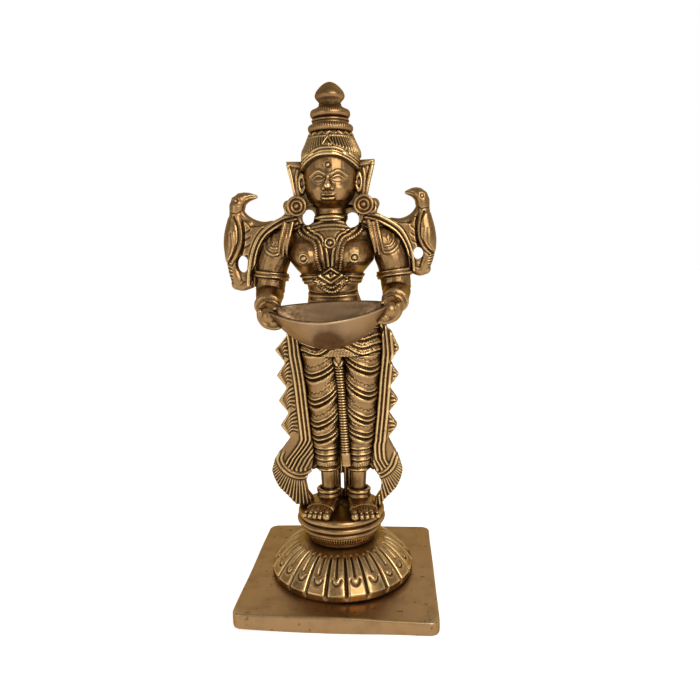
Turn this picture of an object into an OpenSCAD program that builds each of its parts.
// Standing figure lamp in cast brass: a crowned woman on a lotus pedestal holds an oil bowl in both hands.
// The figure faces -Y and +Z is up. Left and right are the figure's own, so its left side is +X.
// The origin is the centre of the square base plate, on the surface that the lamp stands on.

/* [Base plate] */
// Side of the square base plate
plate_side = 76; // [66:1:96]
// Height of the plate's edge
plate_thick = 6.5; // [5.5:0.5:9]
// Corner radius of the plate, seen from above
plate_corner = 3.5; // [2:0.5:10]
// Width of the rim that the plate stands on
plate_rim = 8; // [5:0.5:11]
// Depth of the hollow under the plate
plate_hollow = 3.6; // [3.4:0.1:4.5]

/* [Lotus pedestal] */
// Diameter of the lotus where it meets the plate
lotus_dia = 58; // [52:1:64]
// Height of the lotus
lotus_high = 14.1; // [13:0.1:18]
// Diameter of the flat top of the lotus
lotus_top_dia = 27; // [24:0.5:30]
// Height of the plain outer band under the petals
lotus_band = 3; // [2:0.1:4]
// Wall of the hollow lotus
lotus_wall = 3.5; // [2.5:0.1:4.5]
// Diameter of the threaded boss in the middle of the lotus
boss_dia = 18; // [15:0.5:21]
// Number of petals
petal_count = 22; // [12:1:28]
// Depth of the cut between two petals
petal_cut = 1.3; // [0.6:0.1:1.8]

/* [Base screw] */
// Thread diameter of the screw that holds the lotus to the plate
screw_dia = 6; // [5:0.5:6.5]
// Length of that thread inside the boss
screw_grip = 5; // [4:0.1:5.3]
// Diameter of the screw's head
screw_head_dia = 11; // [9:0.5:13]
// Height of the screw's head
screw_head_high = 2.4; // [1.8:0.1:2.5]
// Diameter of the washer under the head
base_washer_dia = 15; // [13.5:0.5:18]
// Thickness of that washer
base_washer_thick = 0.7; // [0.5:0.1:0.8]

/* [Seat and stud] */
// Diameter of the round seat that the figure stands on
seat_dia = 36.2; // [35:0.2:42]
// Height of the seat
seat_high = 12.3; // [11:0.1:15]
// Diameter of the seat's neck, above the lotus
seat_neck_dia = 28; // [26:0.5:31]
// Diameter of the seat's lower rim
seat_low_dia = 33.4; // [32:0.2:35]
// Thread diameter of the stud that screws the figure into the lotus
stud_dia = 8; // [7:0.5:10]
// Thread length of the stud in the lotus, a whole number of turns
stud_grip = 7.5; // [5:1.25:7.5]
// Length of the stud held in the seat
stud_hold = 6; // [4:0.5:7]
// Diameter of the leather washer between lotus and seat
seat_washer_dia = 24; // [20:0.5:26]
// Thickness of the leather washer
seat_washer_thick = 0.6; // [0.4:0.1:1.2]

/* [Feet and legs] */
// Height of a foot with its ankle
foot_high = 15.5; // [14:0.5:18]
// Length of a foot
foot_long = 20; // [18:0.5:21]
// Width of a foot at the toes
foot_wide = 11.2; // [10:0.2:12]
// Distance from the ankle's axis to the back of the heel
heel_back = 4.4; // [4:0.1:5]
// Angle that each foot turns out
foot_turn = 14; // [4:1:16]
// Diameter of an ankle
ankle_dia = 6.4; // [5.8:0.2:7.2]
// Height of the draped legs, from ankle to hip
leg_high = 48; // [42:1:56]
// Width of one leg at its hem
hem_wide = 9.2; // [8.4:0.2:10.2]
// Width of one leg at the knee
knee_wide = 13; // [12:0.2:14]
// Width of one leg at the hip
thigh_wide = 15.6; // [14.6:0.2:17]
// Depth of a leg, front to back, over its width
leg_depth_ratio = 1.07; // [1:0.01:1.15]
// Gap between the two hems
hem_gap = 4; // [3:0.2:6]
// Gap between the two thighs
thigh_gap = 0.3; // [0.2:0.1:0.8]
// Width of the pleated sash that hangs between the legs
sash_wide = 3.4; // [2.6:0.2:4.6]
// Length of the sash below the hips
sash_long = 45; // [34:1:46]
// How far the sash slants to the figure's left on its way down
sash_slant = 2.4; // [0:0.2:2.8]

/* [Side scarves] */
// Distance from the hip to the valleys of the scarf's fluttering edge
scarf_wide = 5; // [4:0.2:6.5]
// How far each fold of that edge stands out
scarf_flutter = 3.8; // [2:0.2:5]
// Number of folds along the edge
flutter_count = 4; // [3:1:6]
// Half-width from the axis to the outermost point of the fan at the scarf's foot
fan_reach = 26.8; // [25:0.2:29]
// Thickness of a scarf, front to back
scarf_thick = 5; // [3.5:0.5:6]

/* [Hips and torso] */
// Height of the hips
hip_high = 21; // [18:0.5:25]
// Depth of the hips, front to back
hip_deep = 19.4; // [18:0.2:21]
// Width of the waist
waist_wide = 21; // [19.5:0.5:22.5]
// Depth of the waist
waist_deep = 15; // [14:0.5:16.5]
// Height of the torso, from waist to neck
torso_high = 33; // [30:0.5:38]
// Width of the chest under the arms
chest_wide = 34; // [32.8:0.2:36]
// Depth of the chest without the bust
chest_deep = 16; // [15:0.2:18]
// How far the bust stands out
bust_out = 6.5; // [4:0.2:8]
// Distance between the two sides of the bust
bust_apart = 18.5; // [17:0.5:20]
// Width across the flats where the arms are fixed
shoulder_wide = 32.4; // [31:0.2:32.8]
// Diameter of the neck
neck_dia = 12.2; // [11:0.2:13]
// Thickness of the belts and of the collar
belt_thick = 1.1; // [0.8:0.1:1.6]

/* [Arms and hands] */
// Diameter of an arm at the shoulder
shoulder_dia = 12.8; // [11.6:0.2:13.4]
// Diameter of the upper arm
arm_dia = 12.2; // [11:0.2:12.8]
// Diameter of the wrist
wrist_dia = 7; // [6:0.2:8]
// Diameter of the closed hand
hand_dia = 8.6; // [8:0.2:10]
// Distance between the two elbows
elbow_apart = 49.4; // [48.6:0.2:52]
// Height of the elbow over the waist
elbow_up = 4; // [2:0.5:6]
// Thickness of armlets, bangles and anklets
ring_thick = 1.2; // [0.8:0.1:1.5]
// Width of an armlet
armlet_wide = 2.8; // [2:0.2:4]

/* [Oil bowl] */
// Width of the bowl, hand to hand
bowl_wide = 45.5; // [42:0.5:48]
// Distance from the bowl's widest line forward to the tip of its spout
bowl_spout = 17; // [14:0.5:19]
// Distance from the bowl's widest line back to its rear rim
bowl_rear = 8.5; // [7:0.5:9]
// Depth of the bowl outside
bowl_deep = 15; // [12:0.5:17]
// Wall of the bowl
bowl_wall = 1.8; // [1.4:0.1:2.4]
// Distance from the figure's axis forward to the bowl's widest line
bowl_forward = 19.6; // [18.5:0.2:21]
// Height of the rim over the waist, at the widest line
bowl_up = -1; // [-2:0.5:1]
// Angle that the spout dips
bowl_tilt = 12; // [4:1:14]
// Angle that the bowl dips sideways, to the figure's right
bowl_roll = 2; // [0:0.5:4]

/* [Shoulder drapes and birds] */
// Thickness of the drape that lies along the outside of the arm
drape_thick = 3; // [2:0.2:4]
// Depth of the drape, front to back
drape_deep = 7; // [5:0.5:9]
// Distance from the drape to the middle of the bird
bird_out = 5.6; // [5.2:0.2:7]
// Height of the bird from tail to crown
bird_high = 35; // [31:0.5:38]
// Thickest diameter of the bird's body
bird_body_dia = 8.6; // [7.4:0.2:9]

/* [Head and crown] */
// Height of the head, from neck to crown
head_high = 21; // [19:0.5:24]
// Width of the head
head_wide = 20.4; // [19:0.2:22]
// Depth of the head
head_deep = 21; // [19:0.2:23]
// Distance between the tips of the ear ornaments
ear_reach = 33.8; // [31:0.2:37]
// Diameter of the round earrings
earring_dia = 7.8; // [6.4:0.2:8.2]
// Diameter of the crown's headband
crown_dia = 22.6; // [21.6:0.2:25]
// Height of the crown without its knob
crown_high = 19; // [16:0.5:24]
// Diameter of the crown's top ring
crown_ring_dia = 15.2; // [14:0.2:17]
// Diameter of the knob on the crown
knob_dia = 11.2; // [9:0.2:13]
// Height of the knob
knob_high = 8.2; // [7:0.2:11]
// Thickness of the plait at the nape
plait_dia = 7; // [5.6:0.2:8]
// Length of the plait
plait_long = 66; // [50:1:74]

/* [Lean] */
// Sideways set of the body at the hips
hip_set = 1.7; // [-2.5:0.1:2.5]
// Sideways set of the body at the chest
chest_set = -0.9; // [-0.9:0.1:0.9]
// Sideways set of the bowl
bowl_set = -1.2; // [-1.6:0.1:1.6]
// Sideways set of the fans at the foot of the scarves
fan_set = -1.2; // [-2:0.1:2]

/* [Dowels] */
// Diameter of the dowels at waist and neck
dowel_dia = 4; // [3:0.2:4.8]
// Diameter of the pegs at the feet and of the dowels at the shoulders and crown
peg_dia = 3; // [2:0.2:3.6]
// How far a dowel or peg reaches into each piece
dowel_reach = 7; // [5:0.5:8]

/* [Fits] */
// Radial clearance of threads and dowels
pin_gap = 0.05; // [0.02:0.01:0.1]
// Gap between castings that are brazed together
braze_gap = 0.15; // [0.1:0.01:0.25]

/* [Hidden] */
$fn = 64;

brass = "#a8844c";
dark_brass = "#7d5c33";
steel = "silver";
leather = "saddlebrown";

// Sides and rings of the shaped castings
sides = 32;
tube_sides = 20;
small = 0.01;

// Levels, from the ground up
plate_z = plate_thick;
lotus_z = plate_z + lotus_high;
seat_z = lotus_z + seat_washer_thick;
stand_z = seat_z + seat_high;
ankle_z = stand_z + foot_high;
hip_z = ankle_z + leg_high;
waist_z = hip_z + hip_high;
neck_z = waist_z + torso_high;
brow_z = neck_z + head_high;
cap_z = brow_z + crown_high;

// Sideways lean of the figure: out at the hips, back at the chest, nearly upright at the top
sway_keys = [[stand_z, 0.7 * hip_set], [hip_z, hip_set], [waist_z + 0.12 * torso_high, chest_set],
    [waist_z + 0.5 * torso_high, chest_set], [neck_z, chest_set], [cap_z + knob_high, 0.2 * chest_set]];
function sway(z) = along(sway_keys, min(max(z, stand_z), cap_z + knob_high))[1];
function placed(outline, side) = [for (p = outline) [side * p[0] + sway(p[1]), p[1]]];
module leaning(z) translate([sway(z), 0, 0]) children();

// Shape tools

function power(c, p) = sign(c) * pow(abs(c), p);

// Number of the span of keys that holds t
function span(keys, t, i = 0) =
    i >= len(keys) - 2 || t < keys[i + 1][0] ? i : span(keys, t, i + 1);

// Smooth curve through keys, each a list that starts with its parameter
function along(keys, t) =
    let (i = span(keys, t), b = keys[i], c = keys[i + 1],
        a = keys[max(i - 1, 0)], d = keys[min(i + 2, len(keys) - 1)],
        step = c[0] - b[0], u = (t - b[0]) / step,
        from = (c - a) * step / (c[0] - a[0]), to = (d - b) * step / (d[0] - b[0]))
    b * (2 * pow(u, 3) - 3 * u * u + 1) + from * (pow(u, 3) - 2 * u * u + u)
    + c * (3 * u * u - 2 * pow(u, 3)) + to * (pow(u, 3) - u * u);

// Oval in a level plane; squareness 2 is an ellipse and more is boxier
function oval(centre, rx, ry, z, count = sides, squareness = 2) =
    [for (k = [0:count - 1]) let (turn = 360 * k / count)
        [centre[0] + rx * power(cos(turn), 2 / squareness),
         centre[1] + ry * power(sin(turn), 2 / squareness), z]];

// Closed solid through a list of rings with equal counts; side -1 makes the mirror image
module skin(rings, side = 1, lean = 1) {
    n = len(rings[0]);
    last = len(rings) - 1;
    points = [for (ring = rings, k = [0:n - 1]) let (p = ring[side > 0 ? k : n - 1 - k])
        [side * p[0] + lean * sway(p[2]), p[1], p[2]]];
    walls = [for (i = [0:last - 1], k = [0:n - 1])
        let (a = i * n + k, b = i * n + (k + 1) % n, c = b + n, d = a + n)
        each [[a, d, c], [a, c, b]]];
    foot = [for (k = [1:n - 2]) [0, k, k + 1]];
    top = [for (k = [1:n - 2]) [last * n, last * n + k + 1, last * n + k]];
    polyhedron(points, concat(walls, foot, top), convexity = 6);
}

function unit(v) = v / norm(v);

// Round ring about a point of a path, square to the path's direction
function tube_ring(centre, radius, direction, count = tube_sides) =
    let (u = unit(cross([1, 1, 1], direction)), v = cross(direction, u))
    [for (k = [0:count - 1]) let (turn = 360 * k / count)
        centre + radius * (cos(turn) * u + sin(turn) * v)];

// Keys of a tube are [parameter, x, y, z, radius]
function tube_point(keys, t) = let (p = along(keys, t)) [p[1], p[2], p[3]];
function tube_radius(keys, t) = along(keys, t)[4];
function tube_direction(keys, t) =
    unit(tube_point(keys, min(t + small, 1)) - tube_point(keys, max(t - small, 0)));

module tube(keys, rings, count = tube_sides) {
    skin([for (i = [0:rings]) let (t = i / rings)
        tube_ring(tube_point(keys, t), tube_radius(keys, t), tube_direction(keys, t), count)], lean = 0);
}

// Ring that fits a tube at t, with its bore round the tube
module ring_on(keys, t, thick, wide) {
    bore = tube_radius(keys, t) + braze_gap;
    d = tube_direction(keys, t);
    translate(tube_point(keys, t))
        rotate([0, acos(d[2]), atan2(d[1], d[0])])
            rotate_extrude() translate([bore, -wide / 2])
                bead_profile(thick, wide);
}

// Bead with chamfered corners, against the Y axis
module bead_profile(thick, wide) {
    edge = min(thick, wide) / 3;
    polygon([[0, 0], [thick - edge, 0], [thick, edge], [thick, wide - edge],
        [thick - edge, wide], [0, wide]]);
}

module pin(from_z, to_z, dia) {
    translate([0, 0, from_z]) cylinder(h = to_z - from_z, d = dia);
}

// Base plate

module rounded_square(side, corner) {
    half = side / 2 - corner;
    union() {
        square([side, 2 * half], center = true);
        square([2 * half, side], center = true);
        for (x = [-half, half], y = [-half, half]) translate([x, y]) circle(r = corner);
    }
}

module base_plate() color(brass) difference() {
    linear_extrude(plate_thick) rounded_square(plate_side, plate_corner);
    translate([0, 0, -1]) linear_extrude(plate_hollow + 1)
        rounded_square(plate_side - 2 * plate_rim, plate_corner);
    translate([0, 0, -1]) cylinder(h = plate_thick + 2, d = screw_dia + 2 * pin_gap);
}

module base_washer() color(steel) translate([0, 0, plate_hollow - base_washer_thick]) difference() {
    cylinder(h = base_washer_thick, d = base_washer_dia);
    translate([0, 0, -1]) cylinder(h = base_washer_thick + 2, d = screw_dia + 2 * pin_gap);
}

slot_wide = 1.4;
slot_deep = 1;

module base_screw() color(steel) difference() {
    head_z = plate_hollow - base_washer_thick - screw_head_high;
    union() {
        pin(head_z, head_z + screw_head_high, screw_head_dia);
        pin(head_z + small, plate_z + screw_grip, screw_dia);
    }
    translate([-screw_head_dia, -slot_wide / 2, head_z - 1])
        cube([2 * screw_head_dia, slot_wide, slot_deep + 1]);
}

// Lotus pedestal

// Height of the dome over its band, from 0 at the edge to 1 at the flat top
dome_bulge = 0.22;
dome_steps = 6;
function dome_point(u) =
    let (r0 = lotus_dia / 2, r1 = lotus_top_dia / 2, rise = lotus_high - lotus_band)
    [r0 + (r1 - r0) * u, plate_z + lotus_band + rise * (u + dome_bulge * sin(180 * u))];

module lotus_profile() {
    boss_r = boss_dia / 2;
    inner_r = lotus_dia / 2 - lotus_wall;
    polygon(concat(
        [[0, plate_z], [boss_r, plate_z], [boss_r, lotus_z - lotus_wall]],
        [[lotus_top_dia / 2 - lotus_wall / 2, lotus_z - lotus_wall]],
        [[inner_r, plate_z + lotus_band], [inner_r, plate_z], [lotus_dia / 2, plate_z]],
        [for (i = [0:dome_steps]) dome_point(i / dome_steps)],
        [[0, lotus_z]]));
}

// Wedge that parts two petals, widest at the lotus's edge
module petal_gap() {
    wide = 0.8;
    narrow = 0.3;
    over = 0.6;
    steps = 5;
    inner_u = 0.92;
    outer_u = -0.06;
    function corner(p, half, lift) = [p[0], half, p[1] + lift];
    rings = [for (i = [0:steps]) let (s = i / steps, half = narrow + (wide - narrow) * s,
            p = dome_point(inner_u + (outer_u - inner_u) * s))
        [corner(p, 0, -petal_cut), corner(p, half, over), corner(p, -half, over)]];
    skin(rings, lean = 0);
}

module lotus_pedestal() color(brass) difference() {
    rotate_extrude() lotus_profile();
    for (i = [0:petal_count - 1]) rotate([0, 0, 360 * (i + 0.5) / petal_count - 90]) petal_gap();
    translate([0, 0, lotus_z - stud_grip - 0.5]) cylinder(h = stud_grip + 1, d = stud_dia + 2 * pin_gap);
    translate([0, 0, plate_z - 1]) cylinder(h = lotus_high, d = screw_dia + 2 * pin_gap);
}

module seat_washer() color(leather) translate([0, 0, lotus_z]) difference() {
    cylinder(h = seat_washer_thick, d = seat_washer_dia);
    translate([0, 0, -1]) cylinder(h = seat_washer_thick + 2, d = stud_dia + 2 * pin_gap);
}

// Seat

rim_bead = 1.5;
cushion_round = 2.4;
cushion_set = 0.4;
seat_flat = seat_dia / 2 - cushion_set - cushion_round;

// Levels in the seat, as shares of its height
neck_share = 0.12;
low_rim_share = 0.36;
top_rim_share = 0.68;

module seat_profile() {
    neck_r = seat_neck_dia / 2;
    low_r = seat_low_dia / 2;
    top_r = seat_dia / 2;
    low_z = seat_z + low_rim_share * seat_high;
    top_z = seat_z + top_rim_share * seat_high;
    polygon(concat([[0, seat_z], [neck_r, seat_z], [neck_r, seat_z + neck_share * seat_high],
        [low_r - rim_bead, low_z - rim_bead], [low_r - rim_bead, low_z + rim_bead],
        [top_r - rim_bead, top_z - rim_bead], [top_r - rim_bead, top_z + rim_bead]],
        [for (turn = [0:30:90])
            [seat_flat + cushion_round * cos(turn), stand_z - cushion_round * (1 - sin(turn))]],
        [[0, stand_z]]));
    translate([low_r - rim_bead, low_z]) circle(r = rim_bead);
    translate([top_r - rim_bead, top_z]) circle(r = rim_bead);
}

module pedestal_seat() color(brass) difference() {
    rotate_extrude() seat_profile();
    translate([0, 0, seat_z - 1]) cylinder(h = stud_hold + 1, d = stud_dia + 2 * pin_gap);
    peg_places() pin(stand_z - peg_sink, stand_z + 1, peg_dia + 2 * pin_gap);
}

// The pegs end over the stud
peg_clear = 1;
peg_sink = min(dowel_reach, seat_high - stud_hold - peg_clear);

module seat_stud() color(brass) pin(lotus_z - stud_grip, seat_z + stud_hold, stud_dia);

// Feet

leg_keys = [[0, hem_gap / 2, 0.46 * hem_wide], [0.06, 0.45 * hem_gap, 0.52 * hem_wide],
    [0.2, 0.3 * hem_gap, 0.3 * hem_wide + 0.2 * knee_wide], [0.5, thigh_gap, knee_wide / 2],
    [0.8, thigh_gap / 2, 0.42 * thigh_wide + 0.05 * knee_wide], [1, thigh_gap / 2, thigh_wide / 2]];
function leg_half(t) = along(leg_keys, t)[2];
function leg_centre(t) = along(leg_keys, t)[1] + leg_half(t);
function leg_outer(t) = leg_centre(t) + leg_half(t);
foot_x = leg_centre(0);

module peg_places() for (side = [-1, 1]) translate([side * foot_x + sway(ankle_z), 0, 0]) children();

module foot_pegs() color(brass) peg_places() pin(stand_z - peg_sink, ankle_z + dowel_reach, peg_dia);

// Rings of a foot, from sole to ankle: [share of the height, half-width, half-length]
ankle_share = 0.3;
foot_keys = [[0, foot_wide / 2, foot_long / 2], [0.12, foot_wide / 2, 0.49 * foot_long],
    [0.19, 0.46 * foot_wide, 0.43 * foot_long], [0.26, 0.3 * foot_wide + 0.2 * ankle_dia, 0.28 * foot_long],
    [ankle_share, ankle_dia / 2, ankle_dia / 2], [1, ankle_dia / 2, ankle_dia / 2]];
foot_rings = 16;
toe_square = 3;
heel_taper = 0.2;

// The heel is round and the toes are square-ended; the ankle is round
function foot_ring(t) =
    let (p = along(foot_keys, t), ease = min(1, t / ankle_share),
        back = heel_back + (ankle_dia / 2 - heel_back) * ease, square = toe_square + (2 - toe_square) * ease)
    [for (k = [0:sides - 1]) let (turn = 360 * k / sides, s = sin(turn), q = s < 0 ? square : 2)
        let (x = p[1] * power(cos(turn), 2 / q) * (s < 0 ? 1 : 1 - heel_taper * (1 - ease) * s),
            y = back - p[2] + p[2] * power(s, 2 / q))
        [x * cos(foot_turn) - y * sin(foot_turn) + foot_x, x * sin(foot_turn) + y * cos(foot_turn),
         stand_z + t * foot_high]];

module foot(side) color(brass) difference() {
    skin([for (i = [0:foot_rings]) foot_ring(i / foot_rings)], side);
    peg_places() pin(stand_z - 1, ankle_z + 1, peg_dia + 2 * pin_gap);
}

module left_foot() foot(1);
module right_foot() foot(-1);

// Two rings round an ankle
anklet_wide = 1.9;
anklet_thick = 1.3 * ring_thick;
anklet_top = 0.58;

module anklets(side) color(brass) for (i = [0, 1]) {
    z = stand_z + anklet_top * foot_high - (1.15 * i + 1) * anklet_wide;
    leaning(z) translate([side * foot_x, 0, z])
        rotate_extrude() translate([ankle_dia / 2 + braze_gap, 0]) bead_profile(anklet_thick, anklet_wide);
}

module left_anklets() anklets(1);
module right_anklets() anklets(-1);

// Legs

leg_rings = 16;

function leg_ring(t) = oval([leg_centre(t), 0], leg_half(t), leg_half(t) * leg_depth_ratio,
    ankle_z + t * leg_high);

module leg(side) color(brass) difference() {
    skin([for (i = [0:leg_rings]) leg_ring(i / leg_rings)], side);
    peg_places() pin(ankle_z - 1, ankle_z + dowel_reach + 1, peg_dia + 2 * pin_gap);
}

module left_leg() leg(1);
module right_leg() leg(-1);

// Sash in the cleft between the legs: its back lies just in front of both legs
sash_deep = 3.2;
sash_rings = 12;
slant_share = 0.65;

function leg_front(x, t) =
    -leg_half(t) * leg_depth_ratio * sqrt(max(0, 1 - pow((x - leg_centre(t)) / leg_half(t), 2)));

function sash_ring(u) =
    let (z = hip_z - sash_long * (1 - u), t = (z - ankle_z) / leg_high, half = sash_wide / 2,
        x = sash_slant * (slant_share - u),
        clear = [for (turn = [0:15:180]) leg_front(abs(x + half * cos(turn)), t) - sash_deep / 2 * sin(turn)],
        y = min(clear) - braze_gap)
    oval([x, y], half, sash_deep / 2, z, tube_sides);

module centre_sash() color(brass) skin([for (i = [0:sash_rings]) sash_ring(i / sash_rings)]);

// Pleated end of the cloth behind the legs, from the hips to the seat, with a slit between the heels
pleat_half = 4;
pleat_thick = 2.4;
pleat_slit = 1.3;
pleat_foot = 5;
pleat_y = braze_gap - leg_front(pleat_half, 1);

module back_pleat() color(brass) translate([0, pleat_y + pleat_thick, 0]) rotate([90, 0, 0])
    linear_extrude(pleat_thick) difference() {
        polygon(placed([[-pleat_half, hip_z], [pleat_half, hip_z],
            [pleat_foot, stand_z], [-pleat_foot, stand_z]], 1));
        translate([-pleat_slit / 2, stand_z + 0.4 * foot_high])
            square([pleat_slit, 0.5 * foot_high]);
    }

// Side scarves

scarf_top = 1.09;
scarf_low = 0.23;
scarf_steps = 8;
scarf_x = leg_outer(1) + braze_gap + scarf_wide;
scarf_taper = 1.6;
scarf_hem = 0.14;
point_share = 0.25;
valley_share = 0.74;
fan_corner = 7;
hem_clear = 2.2;
hem_x = foot_x + hem_wide / 2 + hem_clear;

// Edge of folds: a point and a valley for each
function scarf_edge() = [for (i = [0:flutter_count - 1], out = [1, 0])
    let (step = (scarf_top - scarf_low) / flutter_count,
        t = scarf_top - (i + (out == 1 ? point_share : valley_share)) * step)
    [scarf_x + scarf_flutter * out - scarf_taper * (1 - t), ankle_z + t * leg_high]];

// Flat piece with an outline in the XZ plane, its thickness centred on that plane
module upright(thick) translate([0, thick / 2, 0]) rotate([90, 0, 0]) linear_extrude(thick) children();

module scarf(side) color(brass) upright(scarf_thick) {
    inner = [for (i = [0:scarf_steps]) let (t = scarf_hem + (1 - scarf_hem) * i / scarf_steps)
        [leg_outer(t) + braze_gap, ankle_z + t * leg_high]];
    hip = [for (t = [0.04, 0.3, 0.46, 0.7]) let (over = t > 0.4 ? belt_thick + braze_gap : 0)
        [along(hip_keys, t)[1] + braze_gap + over, hip_z + t * hip_high]];
    wrap = [[hip[3][0] + 0.3 * scarf_wide, hip[3][1] - 0.1 * scarf_wide], [scarf_x, hip_z + 0.36 * hip_high]];
    fan = [[fan_reach - 0.2 * fan_corner, ankle_z + 0.1 * leg_high], [fan_reach, ankle_z],
        [fan_reach - 0.11 * fan_corner, ankle_z - 0.2 * foot_high],
        [fan_reach - 0.37 * fan_corner, ankle_z - 0.46 * foot_high],
        [fan_reach - fan_corner, stand_z + 0.24 * foot_high],
        [seat_flat + 0.3 * fan_corner, stand_z + 0.06 * foot_high]];
    foot = [[seat_flat - 0.15 * fan_corner, stand_z], [seat_flat - 0.42 * fan_corner, stand_z],
        [hem_x + 0.03 * fan_corner, stand_z + 0.23 * foot_high],
        [hem_x + 0.27 * fan_corner, stand_z + 0.38 * foot_high],
        [hem_x + 0.38 * fan_corner, stand_z + 0.64 * foot_high],
        [hem_x + 0.2 * fan_corner, stand_z + 0.89 * foot_high], [hem_x - 0.05 * fan_corner, ankle_z]];
    edge = concat([for (p = scarf_edge()) [side * p[0], p[1]]], [for (p = fan) [side * p[0] + fan_set, p[1]]]);
    polygon(concat(placed(concat(inner, hip, wrap), side), edge, placed(foot, side)));
}

module left_scarf() scarf(1);
module right_scarf() scarf(-1);

// Hips

hip_half = thigh_gap / 2 + thigh_wide + 0.4;
hip_keys = [[0, hip_half, 0.47 * hip_deep], [0.33, 1.02 * hip_half, hip_deep / 2],
    [0.62, 0.45 * hip_half + 0.35 * waist_wide, 0.48 * hip_deep], [0.9, 0.53 * waist_wide, 0.53 * waist_deep],
    [1, waist_wide / 2, waist_deep / 2]];
body_rings = 16;

function hip_ring(t, grow = 0) = let (p = along(hip_keys, t))
    oval([0, 0], p[1] + grow, p[2] + grow, hip_z + t * hip_high, sides, 2.2);

module hips() color(brass) difference() {
    skin([for (i = [0:body_rings]) hip_ring(i / body_rings)]);
    leaning(waist_z) pin(waist_z - dowel_reach, waist_z + 1, dowel_dia + 2 * pin_gap);
}

// Band round a body: outside walls up, inside walls down, closed by its last ring on its first
module band(outer, inner) {
    n = len(outer[0]);
    rings = concat(outer, inner);
    count = len(rings);
    points = [for (ring = rings, p = ring) p + [sway(p[2]), 0, 0]];
    walls = [for (i = [0:count - 1], k = [0:n - 1])
        let (a = i * n + k, b = i * n + (k + 1) % n, next = ((i + 1) % count) * n,
            c = next + (k + 1) % n, d = next + k)
        each [[a, d, c], [a, c, b]]];
    polyhedron(points, walls, convexity = 6);
}

band_steps = 3;
hip_belt_span = [0.5, 0.66];

module hip_belt() color(brass) {
    spread = hip_belt_span[1] - hip_belt_span[0];
    heights = [for (i = [0:band_steps]) hip_belt_span[0] + spread * i / band_steps];
    band([for (t = heights) hip_ring(t, braze_gap + belt_thick)],
        [for (i = [band_steps:-1:0]) hip_ring(heights[i], braze_gap)]);
}

module waist_dowel() color(brass) leaning(waist_z)
    pin(waist_z - dowel_reach, waist_z + dowel_reach, dowel_dia);

// Torso

torso_keys = [[0, waist_wide / 2, waist_deep / 2], [0.12, 0.46 * waist_wide, 0.49 * waist_deep],
    [0.27, 0.3 * waist_wide + 0.13 * chest_wide, 0.5 * waist_deep],
    [0.38, 0.4 * chest_wide, 0.49 * chest_deep],
    [0.5, 0.49 * chest_wide, 0.5 * chest_deep], [0.62, 0.505 * chest_wide, 0.5 * chest_deep],
    [0.74, 0.5 * chest_wide, 0.48 * chest_deep], [0.81, 0.48 * chest_wide, 0.45 * chest_deep],
    [0.86, 0.24 * chest_wide + 0.3 * neck_dia, 0.42 * chest_deep], [0.9, 0.55 * neck_dia, 0.5 * neck_dia],
    [1, neck_dia / 2, 0.47 * neck_dia]];
torso_rings = 24;
torso_sides = 48;
bust_level = 0.52;
bust_spread = 7;
shoulder_t = 0.68;
shoulder_x = shoulder_wide / 2;
shoulder_z = waist_z + shoulder_t * torso_high;

// Share of the bust at a point of the front, 1 at each side's middle
function bust_share(x, z) = let (d = norm([abs(x) - bust_apart / 2, z - waist_z - bust_level * torso_high]))
    exp(-pow(d / bust_spread, 4) * 1.6);

function torso_ring(t, grow = 0, bust = 1) = let (p = along(torso_keys, t), z = waist_z + t * torso_high)
    [for (q = oval([0, 0], p[1] + grow, p[2] + grow, z, torso_sides, 2.3))
        q[1] < 0 ? q - [0, bust * bust_out * bust_share(q[0], z), 0] : q];

module torso() color(brass) difference() {
    skin([for (i = [0:torso_rings]) torso_ring(i / torso_rings)]);
    leaning(shoulder_z) for (side = [-1, 1]) translate([side * (shoulder_x + chest_wide / 2), 0, shoulder_z])
        cube([chest_wide, 2 * chest_deep, torso_high], center = true);
    leaning(waist_z) pin(waist_z - 1, waist_z + dowel_reach, dowel_dia + 2 * pin_gap);
    leaning(neck_z) pin(neck_z - dowel_reach, neck_z + 1, dowel_dia + 2 * pin_gap);
    shoulder_places() cylinder(h = 2 * dowel_reach, d = peg_dia + 2 * pin_gap, center = true);
}

chest_belt_span = [0.2, 0.31];
collar_span = [0.93, 0.985];

// Axis of the dowel at each shoulder
module shoulder_places() leaning(shoulder_z) for (side = [-1, 1])
    translate([side * (shoulder_x + braze_gap / 2), 0, shoulder_z]) rotate([0, 90, 0]) children();

module torso_band(limits) {
    heights = [for (i = [0:band_steps]) limits[0] + (limits[1] - limits[0]) * i / band_steps];
    band([for (t = heights) torso_ring(t, braze_gap + belt_thick)],
        [for (i = [band_steps:-1:0]) torso_ring(heights[i], braze_gap)]);
}

module chest_belt() color(brass) torso_band(chest_belt_span);
module collar() color(brass) torso_band(collar_span);

module shoulder_dowels() color(brass) shoulder_places()
    cylinder(h = 2 * dowel_reach - 2, d = peg_dia, center = true);

// Oil bowl

bowl_rings = 7;
bowl_sides = 40;
bowl_foot = 0.2;
spout_foot = 1.25;
spout_rim = 1.9;
bowl_z = waist_z + bowl_up;

// Outline of the bowl in its own plane, at a share of its size
function bowl_ring(share, z, grow) = let (fullness = spout_foot + (spout_rim - spout_foot) * share)
    [for (k = [0:bowl_sides - 1]) let (turn = 360 * k / bowl_sides, c = cos(turn), s = sin(turn))
        [(share * bowl_wide / 2 + grow) * c,
         s > 0 ? (share * bowl_rear + grow) * s
             : -(share * bowl_spout + grow) * (1 - pow(abs(c), fullness)), z]];

// Share of the full outline at a share of the depth, 0 at the bottom
function bowl_share(u) = bowl_foot + (1 - bowl_foot) * pow(u, 0.52);

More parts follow.
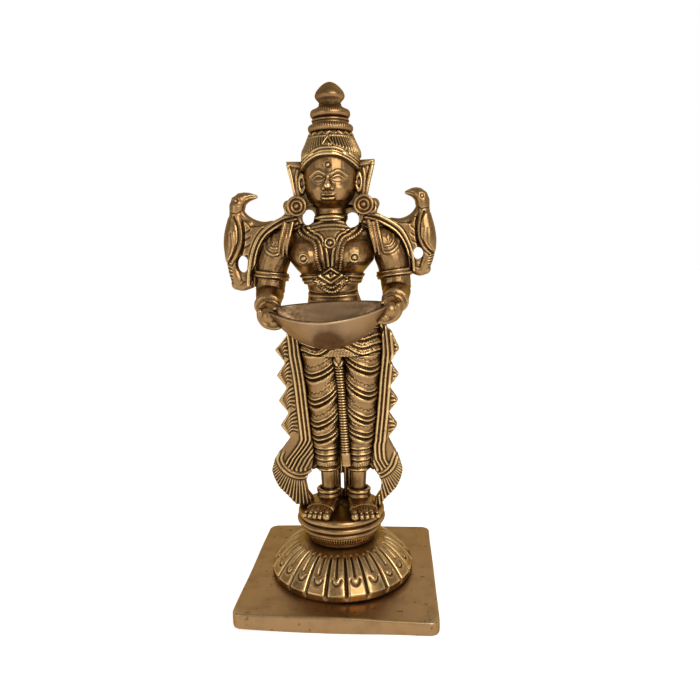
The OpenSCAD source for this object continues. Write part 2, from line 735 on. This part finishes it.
// Bowl with both faces moved out by grow, in place
module bowl_shape(grow) {
    outer = [for (i = [0:bowl_rings]) let (u = i / bowl_rings)
        bowl_ring(bowl_share(u), -bowl_deep - grow + u * (bowl_deep + 2 * grow), grow)];
    floor_z = -bowl_deep + bowl_wall - grow;
    inner = [for (i = [bowl_rings:-1:0]) let (u = i / bowl_rings)
        bowl_ring(bowl_share(u), u == 1 ? grow : floor_z + u * (grow - floor_z), -bowl_wall - grow)];
    translate([bowl_set, -bowl_forward, bowl_z]) rotate([bowl_tilt, -bowl_roll, 0])
        skin(concat(outer, inner), lean = 0);
}

module oil_bowl() color(brass) bowl_shape(0);

// Arms

elbow_x = elbow_apart / 2;
elbow_z = waist_z + elbow_up;
hand_x = bowl_wide / 2 + 0.6;
hand_z = bowl_z - 0.8;
arm_base = [
    [0, shoulder_x - braze_gap, 0, shoulder_z, shoulder_dia / 2],
    [0.05, shoulder_x + 1.4, 0, shoulder_z, shoulder_dia / 2],
    [0.15, 0.5 * shoulder_x + 0.5 * elbow_x, 0, shoulder_z - 1.4, 0.3 * shoulder_dia + 0.2 * arm_dia],
    [0.28, 0.22 * shoulder_x + 0.78 * elbow_x, 0, 0.68 * shoulder_z + 0.32 * elbow_z, 0.52 * arm_dia],
    [0.42, 0.07 * shoulder_x + 0.93 * elbow_x, 0, 0.36 * shoulder_z + 0.64 * elbow_z, 0.48 * arm_dia],
    [0.55, elbow_x, -0.06 * bowl_forward, elbow_z, 0.47 * arm_dia],
    [0.66, 0.85 * elbow_x + 0.15 * hand_x, -0.32 * bowl_forward, 0.55 * elbow_z + 0.45 * hand_z,
        0.25 * arm_dia + 0.25 * wrist_dia],
    [0.78, 0.5 * elbow_x + 0.5 * hand_x, -0.62 * bowl_forward, 0.2 * elbow_z + 0.8 * hand_z, wrist_dia / 2],
    [0.88, hand_x, -0.86 * bowl_forward, hand_z, hand_dia / 2],
    [0.95, hand_x - 0.6, -1.08 * bowl_forward, hand_z - 0.4, 0.48 * hand_dia],
    [1, hand_x - 1.6, -1.18 * bowl_forward, hand_z - 0.8, 0.22 * hand_dia]];
arm_rings = 26;
lean_t = 0.48;
grip_t = 0.88;
hand_rise = bowl_wide / 2 * sin(bowl_roll);

// The upper arm leans with the chest and the hands meet the bowl
function arm_keys(side) = [for (k = arm_base)
    let (hold = min(max((k[0] - lean_t) / (grip_t - lean_t), 0), 1))
    [k[0], side * k[1] + (1 - hold) * sway(k[3]) + hold * bowl_set, k[2], k[3] + hold * side * hand_rise,
        k[4]]];

module arm(side) color(brass) difference() {
    tube(arm_keys(side), arm_rings);
    bowl_shape(braze_gap);
    leaning(shoulder_z) translate([0, 0, shoulder_z])
        cube([2 * (shoulder_x + braze_gap), 2 * chest_deep, torso_high], center = true);
    shoulder_places() cylinder(h = 2 * dowel_reach, d = peg_dia + 2 * pin_gap, center = true);
}

module left_arm() arm(1);
module right_arm() arm(-1);

armlet_t = 0.43;
bangle_ts = [0.735, 0.775];
bangle_wide = 1.5;

module armlet(side) color(brass) ring_on(arm_keys(side), armlet_t, ring_thick, armlet_wide);
module bangles(side) color(brass) for (t = bangle_ts) ring_on(arm_keys(side), t, ring_thick, bangle_wide);

module left_armlet() armlet(1);
module right_armlet() armlet(-1);
module left_bangles() bangles(1);
module right_bangles() bangles(-1);

// Shoulder drapes and birds

// Point beside the arm in the XZ plane, on its outer side
function beside(t, out) = let (p = tube_point(arm_base, t), d = tube_direction(arm_base, t),
        across = unit([-d[2], d[0]]), far = tube_radius(arm_base, t) + out)
    [p[0] + far * across[0], p[2] + far * across[1]];

drape_steps = 9;
drape_from = 0.05;
drape_to = 0.47;
drape_out = braze_gap + drape_thick;
function drape_t(i) = drape_from + (drape_to - drape_from) * i / drape_steps;
// The drape lies on the arm, and lower down on the armlet
function drape_in(t) = braze_gap + (t > armlet_t - 0.06 ? ring_thick + braze_gap : 0);
web_top = 0.13;
web_from = 0.38;
web_to = 0.67;
web_steps = 6;
web_low = 0.29;
web_notch = 3;

bird_mid = beside(web_low, drape_out + bird_out);
bird_foot_z = bird_mid[1] - 0.4 * bird_high;
bird_tail = beside(0.44, drape_out + braze_gap);
body_r = bird_body_dia / 2;
function bird_z(share) = bird_foot_z + share * bird_high;
bird_base = [
    [0, bird_tail[0] + 0.14 * body_r, 0, bird_z(0.08), 0.4 * body_r],
    [0.08, bird_tail[0] + 0.6 * body_r, 0, bird_z(0.06), 0.47 * body_r],
    [0.18, bird_mid[0] - 0.05 * body_r, 0, bird_z(0.12), 0.6 * body_r],
    [0.3, bird_mid[0] + 0.23 * body_r, 0, bird_z(0.24), 0.62 * body_r],
    [0.45, bird_mid[0] + 0.1 * body_r, 0, bird_z(0.42), 0.94 * body_r],
    [0.58, bird_mid[0] - 0.05 * body_r, 0, bird_z(0.58), 0.94 * body_r],
    [0.7, bird_mid[0] - 0.19 * body_r, 0, bird_z(0.76), 0.66 * body_r],
    [0.8, bird_mid[0] - 0.37 * body_r, 0, bird_z(0.9), 0.74 * body_r],
    [0.89, bird_mid[0] - 1.07 * body_r, 0, bird_z(0.955), 0.5 * body_r],
    [1, bird_mid[0] - 2.1 * body_r, 0, bird_z(0.96), 0.12 * body_r]];
bird_rings = 26;

function bird_keys(side) = [for (k = bird_base) [k[0], side * k[1] + sway(k[3]), k[2], k[3], k[4]]];

module bird(side) color(brass) tube(bird_keys(side), bird_rings, count = 16);
module left_bird() bird(1);
module right_bird() bird(-1);

// Point of the bird's breast in the XZ plane, just clear of it
function breast(t) = let (p = tube_point(bird_base, t))
    [p[0] - tube_radius(bird_base, t) - braze_gap, p[2]];

// The drape's pointed end on the shoulder, under the earring
drape_top = shoulder_z + shoulder_dia / 2;
tip_x = 0.88 * neck_dia;
tip_high = 7.2;
tip_half = 1.4;

module drape(side) color(brass) upright(drape_deep) {
    inner = [for (i = [0:drape_steps]) beside(drape_t(i), drape_in(drape_t(i)))];
    outer = [for (i = [drape_steps:-1:0]) beside(drape_t(i), drape_out)];
    below = [for (p = outer) if (p[1] < beside(web_low, drape_out)[1]) p];
    above = [for (p = outer) if (p[1] > beside(web_top, drape_out)[1]) p];
    web = concat([beside(web_low, drape_out)],
        [for (i = [0:web_steps]) breast(web_from + (web_to - web_from) * i / web_steps)],
        [breast(web_to) - [0.87, 1] * web_notch, beside(web_top, drape_out)]);
    tip = [[shoulder_x + tip_half, drape_top + 0.64 * tip_high],
        [shoulder_x + 0.7 * tip_half, drape_top + tip_high],
        [shoulder_x - 0.7 * tip_half, drape_top + 0.89 * tip_high], [tip_x, drape_top + 0.56 * tip_high],
        [tip_x, drape_top + 0.08 * tip_high]];
    polygon(placed(concat(inner, below, web, above, tip), side));
}

module left_shoulder_drape() drape(1);
module right_shoulder_drape() drape(-1);

// Head

head_keys = [[0, neck_dia / 2, 0.47 * neck_dia, 0], [0.1, 0.48 * neck_dia, 0.46 * neck_dia, 0],
    [0.15, 0.28 * head_wide, 0.32 * head_deep, -0.6], [0.22, 0.36 * head_wide, 0.41 * head_deep, -0.8],
    [0.34, 0.43 * head_wide, 0.46 * head_deep, -0.7], [0.56, 0.48 * head_wide, 0.49 * head_deep, -0.4],
    [0.8, 0.5 * head_wide, 0.5 * head_deep, -0.1], [1, 0.5 * head_wide, 0.49 * head_deep, 0]];
head_rings = 22;
head_sides = 40;

function head_ring(t) = let (p = along(head_keys, t))
    [for (q = oval([0, p[3]], p[1], p[2], neck_z + t * head_high, head_sides)) q - [0, nose_share(q, t), 0]];

// The nose and the chin stand out of the face
nose_out = 1.8;
nose_half = 1.9;
nose_level = 0.46;
nose_spread = 0.09;
chin_out = 0.7;
chin_half = 3;
chin_level = 0.21;
chin_spread = 0.05;
function mound(x, half, t, level, spread) = exp(-pow(x / half, 2) - pow((t - level) / spread, 2));
function nose_share(q, t) = q[1] > 0 ? 0 :
    nose_out * mound(q[0], nose_half, t, nose_level, nose_spread)
    + chin_out * mound(q[0], chin_half, t, chin_level, chin_spread);

module head() color(brass) difference() {
    skin([for (i = [0:head_rings]) head_ring(i / head_rings)]);
    leaning(neck_z) pin(neck_z - 1, neck_z + dowel_reach, dowel_dia + 2 * pin_gap);
    leaning(crown_z) pin(brow_z - dowel_reach, brow_z + 1, peg_dia + 2 * pin_gap);
}

module neck_dowel() color(brass) leaning(neck_z) pin(neck_z - dowel_reach, neck_z + dowel_reach, dowel_dia);

// Ear ornament: a plate beside the head, pointed at the top and long enough to carry the earring
ear_thick = 4;
ear_steps = 8;
ear_span = [0.17, 0.94];
earring_x = 0.62 * head_wide;
ear_flare = 3;
earring_z = neck_z + 0.15 * head_high;

function head_side(t) = along(head_keys, t)[1];

module ear_ornament(side) color(brass) upright(ear_thick) {
    inner = [for (i = [0:ear_steps]) let (t = ear_span[0] + (ear_span[1] - ear_span[0]) * i / ear_steps)
        [head_side(t) + braze_gap, neck_z + t * head_high]];
    half = ear_reach / 2;
    outer = [[half, neck_z + 0.95 * head_high], [half - 0.2 * ear_flare, neck_z + 0.83 * head_high],
        [half - 0.67 * ear_flare, neck_z + 0.56 * head_high], [half - ear_flare, neck_z + 0.34 * head_high],
        [earring_x + 0.26 * earring_dia, earring_z],
        [earring_x - 0.18 * earring_dia, earring_z - 0.08 * earring_dia]];
    polygon(placed(concat(inner, outer), side));
}

module left_ear_ornament() ear_ornament(1);
module right_ear_ornament() ear_ornament(-1);

earring_thick = 2.4;

module earring(side) color(brass) leaning(earring_z)
    translate([side * earring_x, -max(ear_thick, drape_deep) / 2 - braze_gap, earring_z]) rotate([90, 0, 0])
        rotate_extrude() polygon([[0, 0], [earring_dia / 2, 0], [earring_dia / 2, 0.6 * earring_thick],
            [0.42 * earring_dia, 0.8 * earring_thick], [0.3 * earring_dia, 0.5 * earring_thick],
            [0.2 * earring_dia, 0.6 * earring_thick], [0.1 * earring_dia, earring_thick], [0, earring_thick]]);

module left_earring() earring(1);
module right_earring() earring(-1);

// Plait down the back, just clear of head, torso and hips
plait_top = neck_z + 0.5 * head_high;
plait_rings = 22;
function back_of(z) =
    z > neck_z ? along(head_keys, (z - neck_z) / head_high)[3] + along(head_keys, (z - neck_z) / head_high)[2]
    : z > waist_z ? along(torso_keys, (z - waist_z) / torso_high)[2]
    : along(hip_keys, max(0, (z - hip_z) / hip_high))[2];
function plait_ring(u) =
    let (z = plait_top - (1 - u) * plait_long, r = plait_dia / 2 * (0.5 + 0.5 * sin(min(90, 30 + 150 * u))),
        clear = max([for (s = [-1:0.25:1]) back_of(z + s * plait_dia)]))
    oval([0, clear + braze_gap + belt_thick + r], r, r, z, tube_sides);

module hair_plait() color(dark_brass) skin([for (i = [0:plait_rings]) plait_ring(i / plait_rings)]);

// Crown

crown_z = cap_z;
crown_base = 0.16;
crown_bead = 1.7;

module crown_profile() {
    base_r = crown_dia / 2;
    ring_r = crown_ring_dia / 2;
    low_r = ring_r + 0.9;
    low_z = brow_z + 0.53 * crown_high;
    ring_z = cap_z - 0.17 * crown_high;
    knob_neck = 0.4 * knob_dia;
    polygon([[0, brow_z], [base_r - 0.7, brow_z], [base_r, brow_z + crown_base * crown_high],
        [base_r - 0.6, brow_z + crown_base * crown_high + 0.8], [low_r + 0.2, low_z - crown_bead - 0.3],
        [low_r - crown_bead, low_z - crown_bead], [low_r - crown_bead, low_z + crown_bead],
        [ring_r - 0.9, low_z + crown_bead + 0.4], [ring_r - 0.9, ring_z - crown_bead - 0.2],
        [ring_r - crown_bead, ring_z - crown_bead], [ring_r - crown_bead, ring_z + crown_bead],
        [knob_neck, ring_z + crown_bead + 0.3], [knob_neck, cap_z], [0, cap_z]]);
    translate([low_r - crown_bead, low_z]) circle(r = crown_bead);
    translate([ring_r - crown_bead, ring_z]) circle(r = crown_bead);
}

knob_peg_long = 5;

module crown() color(brass) leaning(crown_z) difference() {
    rotate_extrude() crown_profile();
    pin(brow_z - 1, brow_z + dowel_reach, peg_dia + 2 * pin_gap);
    pin(cap_z - knob_peg_long - 0.5, cap_z + 1, peg_dia + 2 * pin_gap);
}

module crown_dowel() color(brass) leaning(crown_z) pin(brow_z - dowel_reach, brow_z + dowel_reach, peg_dia);

// Knob: a round foot, a waist and a bulb with a domed top
knob_steps = 12;
dome_point_share = 1.25;

module crown_knob() color(brass) leaning(crown_z) {
    r = knob_dia / 2;
    foot_r = 0.37 * knob_dia;
    bulb_z = cap_z + 0.36 * knob_high;
    rotate_extrude() polygon(concat([[0, cap_z], [foot_r, cap_z], [0.8 * r, cap_z + 0.16 * knob_high],
        [0.95 * r, cap_z + 0.26 * knob_high]],
        [for (i = [0:knob_steps]) let (turn = 90 * i / knob_steps)
            [r * pow(cos(turn), dome_point_share), bulb_z + (knob_high + cap_z - bulb_z) * sin(turn)]]));
    pin(cap_z - knob_peg_long, cap_z + small, peg_dia);
}

base_plate();
lotus_pedestal();
base_screw();
base_washer();
seat_washer();
pedestal_seat();
seat_stud();
foot_pegs();
left_foot();
right_foot();
left_anklets();
right_anklets();
left_leg();
right_leg();
centre_sash();
back_pleat();
left_scarf();
right_scarf();
hips();
hip_belt();
waist_dowel();
torso();
chest_belt();
collar();
shoulder_dowels();
left_arm();
right_arm();
left_armlet();
right_armlet();
left_bangles();
right_bangles();
oil_bowl();
left_shoulder_drape();
right_shoulder_drape();
left_bird();
right_bird();
neck_dowel();
head();
left_ear_ornament();
right_ear_ornament();
left_earring();
right_earring();
hair_plait();
crown_dowel();
crown();
crown_knob();
